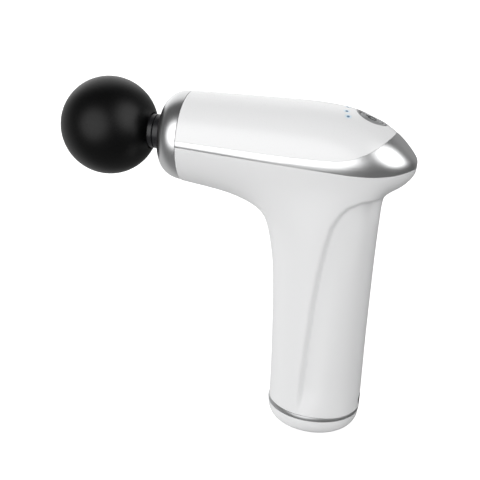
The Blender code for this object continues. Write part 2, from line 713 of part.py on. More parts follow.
def main():
    make_body()
    make_nose()
    make_base()
    make_head()
    make_piston()
    make_rod()
    make_crank()
    make_rotor()
    make_stator()
    make_motor_mount()
    make_drive_frame()
    make_guide()
    make_battery()
    make_charging()
    make_controls()
    for cutter in CUTTERS.objects:
        cutter.display_type = "WIRE"
        cutter.hide_render = True


main()
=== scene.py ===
"""Finish of a handheld massage gun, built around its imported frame.

The frame holds the bones of the gun: shells, drive, battery and controls.
This script makes the surfaces that are seen, gives every piece its finish,
and sets the gun on a pale studio floor.
"""
from __future__ import annotations

import json
import logging
import math
from dataclasses import dataclass, field
from enum import Enum
from typing import Callable, Sequence

import bmesh
import bpy
from mathutils import Matrix, Vector
from mathutils.bvhtree import BVHTree


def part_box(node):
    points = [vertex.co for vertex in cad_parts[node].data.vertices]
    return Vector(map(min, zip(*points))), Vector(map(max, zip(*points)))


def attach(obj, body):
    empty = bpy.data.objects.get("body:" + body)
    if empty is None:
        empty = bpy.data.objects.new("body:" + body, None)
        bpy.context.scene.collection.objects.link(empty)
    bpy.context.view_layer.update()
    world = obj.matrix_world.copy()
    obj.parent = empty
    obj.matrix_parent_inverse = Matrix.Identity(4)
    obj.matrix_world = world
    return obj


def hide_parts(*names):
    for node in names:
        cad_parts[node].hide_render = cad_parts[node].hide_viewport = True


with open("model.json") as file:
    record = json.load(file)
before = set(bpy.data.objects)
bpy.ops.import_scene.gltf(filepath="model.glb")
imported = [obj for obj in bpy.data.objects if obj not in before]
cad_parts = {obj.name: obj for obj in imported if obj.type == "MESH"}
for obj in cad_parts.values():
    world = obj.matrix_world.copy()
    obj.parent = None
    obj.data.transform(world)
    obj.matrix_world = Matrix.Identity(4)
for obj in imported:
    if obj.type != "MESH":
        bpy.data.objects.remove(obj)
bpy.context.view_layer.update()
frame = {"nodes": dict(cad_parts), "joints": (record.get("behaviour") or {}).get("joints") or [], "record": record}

LOG = logging.getLogger("massage_gun")
MM = 0.001
SEAM_GAP = 0.1 * MM
WELD_REACH = 0.22 * MM
FORWARD = Vector((-1, 0, 0))
REARWARD = Vector((1, 0, 0))
UPWARD = Vector((0, 0, 1))
Point2 = tuple[float, float]
Corner = tuple[float, float, float]


# --------------------------------------------------------------- node helper

def wire(tree: bpy.types.NodeTree, kind: str, inputs: dict[str | int, object], output: str,
         **options: object) -> bpy.types.NodeSocket:
    """Add a shader node, feed it and return one of its outputs.

    Args:
        tree: Node tree that gets the node.
        kind: Type of the node, without the common first part of its name.
        inputs: For each input the socket that feeds it, or its fixed value.
        output: Name of the output that is returned.
        options: Settings of the node itself, made before its inputs.

    Returns:
        The output's socket.
    """
    node = tree.nodes.new(f"ShaderNode{kind}")
    for name, setting in options.items():
        setattr(node, name, setting)
    for name, source in inputs.items():
        if isinstance(source, bpy.types.NodeSocket):
            tree.links.new(source, node.inputs[name])
        else:
            node.inputs[name].default_value = source
    return node.outputs[output]


# ------------------------------------------------------------------ finishes

DRIFT_SCALE, DRIFT_DETAIL = 55.0, 3.0
SMOOTHEST = 0.02
BUMP_DEPTH = 0.2 * MM


class Pattern(Enum):
    """Fine structure that a finish carries in its surface."""

    MOULDED = "moulded"
    BLASTED = "blasted"
    BRUSHED = "brushed"
    PORES = "pores"
    TRACES = "traces"
    WINDINGS = "windings"


@dataclass(frozen=True)
class Finish:
    """A surface finish: colour, gloss and the fine structure in it.

    Grain is the scale of the fine structure, relief its height in the
    surface, tone the drift of the colour and spread that of the roughness.
    """

    name: str
    colour: tuple[float, float, float]
    roughness: float
    metallic: float = 0.0
    coat: float = 0.0
    coat_roughness: float = 0.08
    specular: float = 0.5
    pattern: Pattern = Pattern.MOULDED
    grain: float = 900.0
    relief: float = 0.02
    tone: float = 0.02
    spread: float = 0.04
    glow: float = 0.0

    def material(self) -> bpy.types.Material:
        """Return this finish as a material, made on first use.

        Returns:
            The material, which all pieces in this finish share.
        """
        known = bpy.data.materials.get(self.name)
        if known is not None:
            return known
        made = bpy.data.materials.new(self.name)
        made.use_nodes = True
        tree = made.node_tree
        shader = tree.nodes["Principled BSDF"]
        for socket, value in (("Metallic", self.metallic), ("Coat Weight", self.coat),
                              ("Coat Roughness", self.coat_roughness),
                              ("Specular IOR Level", self.specular)):
            shader.inputs[socket].default_value = value
        if self.glow:
            shader.inputs["Emission Color"].default_value = (*self.colour, 1.0)
            shader.inputs["Emission Strength"].default_value = self.glow
        place = wire(tree, "TexCoord", {}, "Object")
        fine = self._structure(tree, place)
        broad = self._noise(tree, place, DRIFT_SCALE, DRIFT_DETAIL)
        self._tint(tree, shader, broad, fine)
        self._gloss(tree, shader, fine)
        self._bump(tree, shader, fine)
        return made

    def _noise(self, tree: bpy.types.NodeTree, place: bpy.types.NodeSocket,
               scale: float, detail: float) -> bpy.types.NodeSocket:
        """Return the value of a noise of one scale, from 0 to 1."""
        return wire(tree, "TexNoise", {"Vector": place, "Scale": scale, "Detail": detail}, "Fac")

    def _structure(self, tree: bpy.types.NodeTree,
                   place: bpy.types.NodeSocket) -> bpy.types.NodeSocket:
        """Return the fine pattern of this finish, from 0 to 1.

        Args:
            tree: Node tree of the material.
            place: Position on the object, in metres.

        Returns:
            The socket that carries the pattern's value.
        """
        if self.pattern is Pattern.BRUSHED:
            grooves = wire(tree, "Mapping", {"Vector": place, "Scale": (1.0, 12.0, 12.0)},
                           "Vector")
            return self._noise(tree, grooves, self.grain / 6, 4.0)
        feed = {"Vector": place, "Scale": self.grain}
        if self.pattern is Pattern.PORES:
            return wire(tree, "TexVoronoi", feed, "Distance")
        if self.pattern is Pattern.TRACES:
            return wire(tree, "TexBrick", {**feed, "Mortar Size": 0.03}, "Fac")
        if self.pattern is Pattern.WINDINGS:
            return wire(tree, "TexWave", feed, "Fac", wave_type="RINGS", rings_direction="Z")
        detail = 6.0 if self.pattern is Pattern.BLASTED else 2.0
        return self._noise(tree, place, self.grain, detail)

    def _tint(self, tree: bpy.types.NodeTree, shader: bpy.types.Node,
              broad: bpy.types.NodeSocket, fine: bpy.types.NodeSocket) -> None:
        """Colour the surface with a slight drift between two near tones.

        Args:
            tree: Node tree of the material.
            shader: The material's main shader.
            broad: Slow noise over the surface.
            fine: The finish's fine pattern.
        """
        dark, light = ((*(min(c * (1 + tone), 1.0) for c in self.colour), 1.0)
                       for tone in (-self.tone, self.tone))
        carrier = fine if self.pattern in (Pattern.TRACES, Pattern.WINDINGS) else broad
        colour = wire(tree, "Mix", {"Factor": carrier, "A": dark, "B": light}, "Result",
                      data_type="RGBA")
        tree.links.new(colour, shader.inputs["Base Color"])

    def _gloss(self, tree: bpy.types.NodeTree, shader: bpy.types.Node,
               fine: bpy.types.NodeSocket) -> None:
        """Let the roughness follow the fine pattern within its spread.

        Args:
            tree: Node tree of the material.
            shader: The material's main shader.
            fine: The finish's fine pattern.
        """
        roughness = wire(tree, "MapRange", {
            "Value": fine, "To Min": max(self.roughness - self.spread, SMOOTHEST),
            "To Max": self.roughness + self.spread}, "Result")
        tree.links.new(roughness, shader.inputs["Roughness"])

    def _bump(self, tree: bpy.types.NodeTree, shader: bpy.types.Node,
              fine: bpy.types.NodeSocket) -> None:
        """Raise the fine pattern a little out of the surface.

        Args:
            tree: Node tree of the material.
            shader: The material's main shader.
            fine: The finish's fine pattern.
        """
        normal = wire(tree, "Bump", {"Height": fine, "Strength": self.relief,
                                     "Distance": BUMP_DEPTH}, "Normal")
        tree.links.new(normal, shader.inputs["Normal"])


# The cover's finish. The controls later paint the lights' blue glow into its colour round each light.
GLOSS_WHITE = Finish("gloss_white", (0.83, 0.832, 0.836), 0.28, coat=0.35, coat_roughness=0.12,
                     grain=2600, relief=0.001, tone=0.003, spread=0.02)
SATIN_WHITE = Finish("satin_white", (0.74, 0.742, 0.746), 0.42, coat=0.1, coat_roughness=0.3,
                     grain=2200, relief=0.02, tone=0.004, spread=0.03)
SATIN_CHROME = Finish("satin_chrome", (0.77, 0.775, 0.78), 0.29, metallic=1.0,
                      pattern=Pattern.BLASTED, grain=2200, relief=0.02, spread=0.02)
BAND_SILVER = Finish("band_silver", (0.60, 0.605, 0.61), 0.42, metallic=1.0,
                     pattern=Pattern.BLASTED, grain=2000, relief=0.03)
FOAM_BLACK = Finish("foam_black", (0.0006, 0.0006, 0.0007), 0.37, pattern=Pattern.PORES,
                    grain=1500, relief=0.05, specular=0.28, tone=0.1)
BLACK_NYLON = Finish("black_nylon", (0.014, 0.014, 0.016), 0.33, grain=1100, relief=0.05)
BLACK_RUBBER = Finish("black_rubber", (0.02, 0.02, 0.02), 0.72, grain=1600, relief=0.12)
BUTTON_GREY = Finish("button_grey", (0.34, 0.345, 0.35), 0.34, metallic=0.5,
                     pattern=Pattern.BLASTED, grain=2400, relief=0.05)
BEZEL_GREY = Finish("bezel_grey", (0.36, 0.363, 0.37), 0.30, metallic=0.7,
                    pattern=Pattern.BLASTED, grain=2400, relief=0.04)
SYMBOL_GREY = Finish("symbol_grey", (0.09, 0.092, 0.095), 0.3, metallic=0.3, grain=1600)
LENS_BLUE = Finish("lens_blue", (0.11, 0.19, 0.29), 0.22, coat=0.5, grain=900, glow=0.25)
STEEL = Finish("machined_steel", (0.52, 0.53, 0.55), 0.28, metallic=1.0, pattern=Pattern.BRUSHED,
               grain=1500, relief=0.08, spread=0.08)
CAST_ALLOY = Finish("cast_alloy", (0.62, 0.63, 0.64), 0.48, metallic=1.0, pattern=Pattern.BLASTED,
                    grain=1300, relief=0.25, spread=0.1)
BRONZE = Finish("sintered_bronze", (0.66, 0.47, 0.22), 0.42, metallic=1.0,
                pattern=Pattern.PORES, grain=2600, relief=0.15)
COPPER = Finish("enamelled_copper", (0.68, 0.29, 0.13), 0.3, metallic=0.9, coat=0.4,
                pattern=Pattern.WINDINGS, grain=240, relief=0.6, tone=0.25)
BOARD_GREEN = Finish("board_green", (0.015, 0.13, 0.055), 0.38, coat=0.4, pattern=Pattern.TRACES,
                     grain=160, relief=0.15, tone=0.45)
CELL_WRAP = Finish("cell_wrap", (0.045, 0.17, 0.38), 0.32, coat=0.5, grain=700, relief=0.04,
                   tone=0.06)
LEAD_RED = Finish("lead_red", (0.45, 0.02, 0.02), 0.45, grain=1200, relief=0.06)

SLOT_FINISH: dict[str, Finish] = {
    "white_shell": SATIN_WHITE, "satin_silver": SATIN_CHROME, "black_foam": FOAM_BLACK,
    "black_plastic": BLACK_NYLON, "grey_button": BUTTON_GREY, "blue_light": LENS_BLUE,
    "steel": STEEL, "aluminium": CAST_ALLOY, "brass": BRONZE, "copper": COPPER,
    "rubber": BLACK_RUBBER, "board_green": BOARD_GREEN, "cell_wrap": CELL_WRAP,
    "lead_red": LEAD_RED,
}


# -------------------------------------------------------------- mesh helpers

EDGE_SHARE = 0.48


def slot_of(node: str) -> str:
    """Return the record's material slot of a CAD node."""
    return next(s["material_slot"] for s in frame["record"]["subparts"] if s["node"] == node)


def middle(node: str) -> Vector:
    """Return the centre of a CAD node's box at rest."""
    low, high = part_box(node)
    return (low + high) / 2


def barrel_axis() -> float:
    """Return the height of the barrel's axis."""
    return middle("piston").z


def in_scene(name: str, data: bpy.types.ID) -> bpy.types.Object:
    """Make an object and link it into the scene.

    Args:
        name: Name of the object.
        data: Its mesh, curve, light or camera.

    Returns:
        The new object.
    """
    obj = bpy.data.objects.new(name, data)
    bpy.context.scene.collection.objects.link(obj)
    return obj


def to_mesh(name: str, work: bmesh.types.BMesh) -> bpy.types.Mesh:
    """Return a bmesh as a mesh, and free the bmesh.

    Args:
        name: Name of the mesh.
        work: The bmesh. It is freed.

    Returns:
        The new mesh.
    """
    mesh = bpy.data.meshes.new(name)
    work.to_mesh(mesh)
    work.free()
    return mesh


def applied(obj: bpy.types.Object) -> bpy.types.Mesh:
    """Apply an object's modifiers to a copy of its mesh.

    Args:
        obj: The object, which keeps its own mesh and modifiers.

    Returns:
        The copy.
    """
    bpy.context.view_layer.update()
    evaluated = obj.evaluated_get(bpy.context.evaluated_depsgraph_get())
    return bpy.data.meshes.new_from_object(evaluated)


def link_mesh(name: str, work: bmesh.types.BMesh, finish: Finish,
              sharp: float = 35.0) -> bpy.types.Object:
    """Turn a bmesh into a smooth-shaded object in one finish.

    Args:
        name: Name of the new piece.
        work: The mesh, in metres in the gun's frame. It is freed.
        finish: Finish of the whole piece.
        sharp: Angle in degrees past which an edge stays crisp.

    Returns:
        The linked object.
    """
    bmesh.ops.recalc_face_normals(work, faces=work.faces)
    mesh = to_mesh(name, work)
    mesh.shade_smooth()
    mesh.set_sharp_from_angle(angle=math.radians(sharp))
    mesh.materials.append(finish.material())
    return in_scene(name, mesh)


def settle(obj: bpy.types.Object, node: str) -> bpy.types.Object:
    """Let a piece stand for a CAD node: its body and its place.

    Args:
        obj: The new piece.
        node: The CAD node that it replaces, whose body it rides on.

    Returns:
        The same piece.
    """
    body = next(b for b, nodes in frame["record"]["behaviour"]["bodies"].items() if node in nodes)
    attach(obj, body)
    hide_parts(node)
    LOG.info("%s stands for %s on %s", obj.name, node, body)
    return obj


def rounded(corners: Sequence[Corner], steps: int = 5) -> list[Point2]:
    """Round the corners of an open profile.

    Args:
        corners: Radius, height and rounding length of each corner. A
            rounding takes up no more than about half of either edge.
        steps: Short edges along each rounding.

    Returns:
        The profile's points, as radius and height.
    """
    points: list[Point2] = []
    for i, (radius, height, fillet) in enumerate(corners):
        here = Vector((radius, height))
        if fillet == 0 or i in (0, len(corners) - 1):
            points.append((radius, height))
            continue
        before = Vector(corners[i - 1][:2]) - here
        after = Vector(corners[i + 1][:2]) - here
        start = here + before.normalized() * min(fillet, before.length * EDGE_SHARE)
        end = here + after.normalized() * min(fillet, after.length * EDGE_SHARE)
        for k in range(steps + 1):
            t = k / steps
            spot = start * (1 - t) ** 2 + here * 2 * t * (1 - t) + end * t ** 2
            points.append((spot.x, spot.y))
    return points


def dome(face: float, rim: float, height: float, power: float, steps: int = 24) -> list[Point2]:
    """Return a rounded shoulder from a flat face down to its rim.

    Args:
        face: Radius where the flat face ends.
        rim: Radius of the foot of the shoulder.
        height: Height of the face above the rim.
        power: Fullness of the curve: 2 is an ellipse, more is squarer.
        steps: Short edges along the curve.

    Returns:
        Points from the face's edge down to the rim, as radius and height.
    """
    turns = [math.pi / 2 * (1 - k / steps) for k in range(steps + 1)]
    exponent = 2 / power
    return [(face + (rim - face) * max(math.cos(a), 0.0) ** exponent,
             height * max(math.sin(a), 0.0) ** exponent) for a in turns]


def axis_matrix(origin: Vector, direction: Vector) -> Matrix:
    """Return the matrix that stands local Z along a direction at a point."""
    turn = UPWARD.rotation_difference(direction)
    return Matrix.Translation(origin) @ turn.to_matrix().to_4x4()


def lathe(name: str, profile: Sequence[Point2], place: Matrix, finish: Finish,
          steps: int = 96) -> bpy.types.Object:
    """Turn a profile in millimetres about local Z.

    A profile that starts and ends off the axis is closed into a ring.

    Args:
        name: Name of the new piece.
        profile: Radius and height of each point. Radius 0 lies on the axis.
        place: Matrix from the turning axis to the gun's frame.
        finish: Finish of the piece.
        steps: Edges around the axis.

    Returns:
        The turned piece.
    """
    work = bmesh.new()
    rings = []
    for radius, height in profile:
        if radius < 1e-6:
            rings.append([work.verts.new((0, 0, height * MM))])
            continue
        turns = [math.tau * k / steps for k in range(steps)]
        rings.append([work.verts.new((radius * MM * math.cos(a), radius * MM * math.sin(a),
                                      height * MM)) for a in turns])
    pairs = list(zip(rings, rings[1:]))
    if len(rings[0]) > 1 and len(rings[-1]) > 1:
        pairs.append((rings[-1], rings[0]))
    for first, second in pairs:
        for k in range(steps):
            after = (k + 1) % steps
            loop = [first[k % len(first)], first[after % len(first)],
                    second[after % len(second)], second[k % len(second)]]
            unique = list(dict.fromkeys(loop))
            if len(unique) > 2:
                work.faces.new(unique)
    bmesh.ops.transform(work, matrix=place, verts=work.verts)
    return link_mesh(name, work, finish)


def smoothstep(value: float, low: float, high: float) -> float:
    """Return 0 below low, 1 above high, and a smooth rise between them."""
    share = min(max((value - low) / (high - low), 0.0), 1.0)
    return share * share * (3 - 2 * share)


@dataclass(frozen=True)
class EdgeLine:
    """A smooth line through a few points, height against X, in millimetres."""

    points: tuple[Point2, ...]

    def height(self, x: float) -> float:
        """Return the line's height at x.

        Args:
            x: Place along the gun.

        Returns:
            The height: level before the first point, straight on past the last.
        """
        spots = self.points
        if x <= spots[0][0]:
            return spots[0][1]
        for i in range(len(spots) - 1):
            (x0, z0), (x1, z1) = spots[i], spots[i + 1]
            if x > x1:
                continue
            span = x1 - x0
            t = (x - x0) / span
            rise0, rise1 = self._slope(i) * span, self._slope(i + 1) * span
            return ((2 * t ** 3 - 3 * t ** 2 + 1) * z0 + (t ** 3 - 2 * t ** 2 + t) * rise0
                    + (3 * t ** 2 - 2 * t ** 3) * z1 + (t ** 3 - t ** 2) * rise1)
        return spots[-1][1] + self._slope(len(spots) - 1) * (x - spots[-1][0])

    def _slope(self, i: int) -> float:
        """Return the slope at point i, from its neighbours.

        Args:
            i: Number of the point.

        Returns:
            Rise over run between the points on its two sides.
        """
        low = self.points[max(i - 1, 0)]
        high = self.points[min(i + 1, len(self.points) - 1)]
        return (high[1] - low[1]) / (high[0] - low[0])


TRIM_TOP = EdgeLine(((-95, 0.8), (-60, 0.8), (-27, 0.9), (-6, 1.4), (2, 2.0), (8, 3.2),
                     (16.8, 7.5), (25, 14.2), (45, 31)))
TRIM_LOW = EdgeLine(((-95, -1.6), (-50, -2.8), (-15, -3.5), (-1, -3.9), (12, -4.3), (20, -4.1),
                     (29, -2.9), (36, -1.0), (45, 1.5)))


class Keep(Enum):
    """What a cut leaves of a mesh."""

    ABOVE = 1
    BELOW = -1
    BOTH = 0


def cut_along(work: bmesh.types.BMesh, line: Callable[[float], float], offset: float,
              axis_z: float, keep: Keep) -> None:
    """Cut a mesh along a line that is drawn on its side view.

    The mesh is sheared so that the line lies flat, cut by one plane, and
    sheared back.

    Args:
        work: The mesh to cut, in metres.
        line: Height of the line over the barrel's axis for each X, in millimetres.
        offset: Distance in metres by which the cut stays off the line.
        axis_z: Height of the barrel's axis.
        keep: The side that stays, or both for an edge loop alone.
    """
    for vert in work.verts:
        vert.co.z -= line(vert.co.x / MM) * MM + axis_z
    side = -1 if keep is Keep.BELOW else 1
    geometry = work.verts[:] + work.edges[:] + work.faces[:]
    bmesh.ops.bisect_plane(work, geom=geometry, plane_co=(0, 0, side * offset),
                           plane_no=(0, 0, side), clear_inner=keep is not Keep.BOTH, dist=1e-7)
    for vert in work.verts:
        vert.co.z += line(vert.co.x / MM) * MM + axis_z


def cut_flat(work: bmesh.types.BMesh, point: Vector, keep: Vector) -> None:
    """Cut a mesh by a plane and keep the side that the keep vector points to.

    Args:
        work: The mesh to cut.
        point: A point of the plane.
        keep: The plane's normal, towards the side that stays.
    """
    geometry = work.verts[:] + work.edges[:] + work.faces[:]
    bmesh.ops.bisect_plane(work, geom=geometry, plane_co=point, plane_no=keep,
                           clear_inner=True, dist=1e-7)


def tidy_rim(work: bmesh.types.BMesh) -> None:
    """Weld the slivers that a cut leaves into the rim, which stays in place.

    Args:
        work: The mesh that was cut. Its open edges are the rim.
    """
    work.normal_update()
    rim = {v for e in work.edges if e.is_boundary for v in e.verts}
    welds: dict[bmesh.types.BMVert, bmesh.types.BMVert] = {}
    for vert in rim:
        for edge in vert.link_edges:
            other = edge.other_vert(vert)
            inner = other not in rim and other not in welds
            if inner and edge.calc_length() < WELD_REACH:
                welds[other] = vert
    bmesh.ops.weld_verts(work, targetmap=welds)
    bmesh.ops.dissolve_degenerate(work, edges=work.edges, dist=1e-6)


# --------------------------------------------------------------- body shells

@dataclass
class BodySurface:
    """Smooth outer surface of barrel and grip, open at nose and foot.

    Barrel stations give X, height, depth and half width, and grip
    stations give front and rear height, front and rear X and half width,
    all in millimetres from the barrel's axis.
    """

    axis_z: float
    barrel: tuple[tuple[float, float, float, float], ...] = (
        (-77.3, 22.5, 22.9, 22.5), (-63.0, 23.1, 24.3, 23.1), (-49.0, 23.6, 26.2, 23.6),
        (-35.0, 24.1, 32.0, 24.1), (-14.0, 25.0, 25.5, 25.0), (7.0, 23.6, 24.0, 24.5),
        (22.5, 16.5, 15.8, 20.2), (30.6, 9.7, 11.8, 14.2), (35.6, 3.9, 5.6, 7.2))
    grip: tuple[tuple[float, ...], ...] = (
        (-38.5, -23.0, -32.8, 22.2, 23.2), (-54.0, -46.0, -28.6, 22.0, 22.7),
        (-73.0, -73.0, -26.6, 22.4, 22.9), (-92.0, -92.0, -25.3, 22.7, 23.2),
        (-111.0, -111.0, -24.1, 23.3, 23.4), (-129.5, -129.5, -23.4, 23.9, 23.7))
    joint_from: int = 3
    joint_to: int = 6
    tail_tip: float = 36.9
    barrel_swell: float = 1 / 0.9555
    grip_swell: float = 1 / 0.967

    def _barrel_rows(self, work: bmesh.types.BMesh) -> list[list[bmesh.types.BMVert | None]]:
        """Return the half sections of the barrel, with the grip's opening left out.

        Args:
            work: The mesh that gets the vertices.

        Returns:
            One row a station, from the top down, with None in the grip's opening.
        """
        rows = []
        for i, (x, top, depth, width) in enumerate(self.barrel):
            row = []
            for k in range(7):
                turn = math.radians(90 - 30 * k)
                reach = top if k <= 3 else depth
                inside = self.joint_from < i < self.joint_to and k > 4
                spot = Vector((x, width * self.barrel_swell * math.cos(turn),
                               reach * self.barrel_swell * math.sin(turn)))
                row.append(None if inside else self._vertex(work, spot))
            rows.append(row)
        return rows

    def _vertex(self, work: bmesh.types.BMesh, spot: Vector) -> bmesh.types.BMVert:
        """Add a cage vertex given in millimetres from the barrel's axis."""
        return work.verts.new(Vector((0, 0, self.axis_z)) + spot * MM)

    def _close_tail(self, work: bmesh.types.BMesh, tail: list[bmesh.types.BMVert]) -> None:
        """Close the half section at the tail with four quads.

        Args:
            work: The mesh of the cage.
            tail: The last half section, from the top down.
        """
        tips = [self._vertex(work, Vector((self.tail_tip, 0, (tail[k].co.z - self.axis_z) / MM)))
                for k in (2, 3, 4)]
        work.faces.new((tail[0], tail[1], tail[2], tips[0]))
        for k in (0, 1):
            work.faces.new((tips[k], tail[k + 2], tail[k + 3], tips[k + 1]))
        work.faces.new((tips[2], tail[4], tail[5], tail[6]))

    def _grip_rows(self, work: bmesh.types.BMesh, edge: list[bmesh.types.BMVert]) -> None:
        """Carry the opening's edge down the grip, station by station.

        Args:
            work: The mesh of the cage.
            edge: The opening's edge, from the front to the rear.
        """
        last = len(edge) - 1
        for front_z, rear_z, front_x, rear_x, width in self.grip:
            row = []
            for k in range(last + 1):
                turn = math.pi * k / last
                share = (1 - math.cos(turn)) / 2
                along = 0.5 - 0.5 * self.grip_swell * math.cos(turn)
                row.append(self._vertex(work, Vector((
                    front_x + (rear_x - front_x) * along,
                    width * self.grip_swell * math.sin(turn),
                    front_z + (rear_z - front_z) * share))))
            for k in range(last):
                work.faces.new((edge[k + 1], edge[k], row[k], row[k + 1]))
            edge = row

    def mesh(self, level: int) -> bpy.types.Mesh:
        """Return the whole open surface, subdivided to a level.

        Args:
            level: Subdivisions of the cage.

        Returns:
            The mesh of both halves.
        """
        work = bmesh.new()
        rows = self._barrel_rows(work)
        for i, (near, far) in enumerate(zip(rows, rows[1:])):
            for k in range(4 if self.joint_from <= i < self.joint_to else 6):
                work.faces.new((near[k], near[k + 1], far[k + 1], far[k]))
        self._close_tail(work, rows[-1])
        first, last = rows[self.joint_from], rows[self.joint_to]
        along = [rows[i][4] for i in range(self.joint_from, self.joint_to + 1)]
        self._grip_rows(work, [first[6], first[5], *along, last[5], last[6]])
        bmesh.ops.recalc_face_normals(work, faces=work.faces)
        holder = in_scene("body_surface", to_mesh("body_surface", work))
        mirror = holder.modifiers.new("Other half", "MIRROR")
        mirror.use_axis = (False, True, False)
        mirror.use_clip = True
        mirror.merge_threshold = 1e-5
        smooth = holder.modifiers.new("Smooth", "SUBSURF")
        smooth.levels = level
        smooth.render_levels = level
        mesh = applied(holder)
        bpy.data.objects.remove(holder, do_unlink=True)
        return mesh


@dataclass
class GripScoop:
    """Shallow scoop in the grip's flank, behind a crease that runs down it.

    The crease is drawn on the side view, from the rear of the grip forwards
    and down, in millimetres from the barrel's axis.
    """

    axis_z: float
    crease: tuple[Point2, ...] = (
        (30.0, -16.6), (22.6, -16.4), (15.1, -16.9), (8.6, -20.0), (5.1, -24.0), (1.8, -30.5),
        (-0.3, -41.1), (-2.1, -55.2), (-3.5, -73.3), (-4.3, -91.5), (-4.8, -107.7),
        (-4.9, -122.0), (-5.0, -132.0))
    depth: float = 2.4
    lead_in: float = 0.4
    ramp: float = 2.1
    reach: float = 17.0
    recovery: float = 0.75
    flank: Point2 = (3.0, 12.0)
    foot: Point2 = (-130.0, -114.0)
    highest: float = -14.0
    foremost: float = -12.0

    def _distance(self, x: float, z: float) -> float:
        """Return how far a point of the flank lies behind the crease.

        Args:
            x: Place along the gun.
            z: Height from the barrel's axis.

        Returns:
            The distance, less than 0 in front of the crease.
        """
        best = 1e9
        signed = 0.0
        here = Vector((x, z))
        for first, second in zip(self.crease, self.crease[1:]):
            start, run = Vector(first), Vector(second) - Vector(first)
            share = min(max((here - start).dot(run) / run.length_squared, 0.0), 1.0)
            away = here - start - run * share
            if away.length < best:
                best = away.length
                signed = best if run.x * away.y - run.y * away.x > 0 else -best
        return signed

    def press(self, work: bmesh.types.BMesh) -> None:
        """Move the flank's vertices inwards behind the crease.

        Args:
            work: The body's outer surface.
        """
        work.normal_update()
        moves = {}
        for vert in work.verts:
            x, y, z = vert.co.x / MM, abs(vert.co.y / MM), (vert.co.z - self.axis_z) / MM
            if z > self.highest or x < self.foremost:
                continue
            behind = self._distance(x, z)
            step = smoothstep(behind, -self.lead_in, self.ramp)
            fade = 1 - self.recovery * smoothstep(behind, self.ramp, self.reach)
            press = step * fade * smoothstep(y, *self.flank) * smoothstep(z, *self.foot)
            moves[vert] = vert.normal * (-self.depth * MM * press)
        for vert, move in moves.items():
            vert.co += move


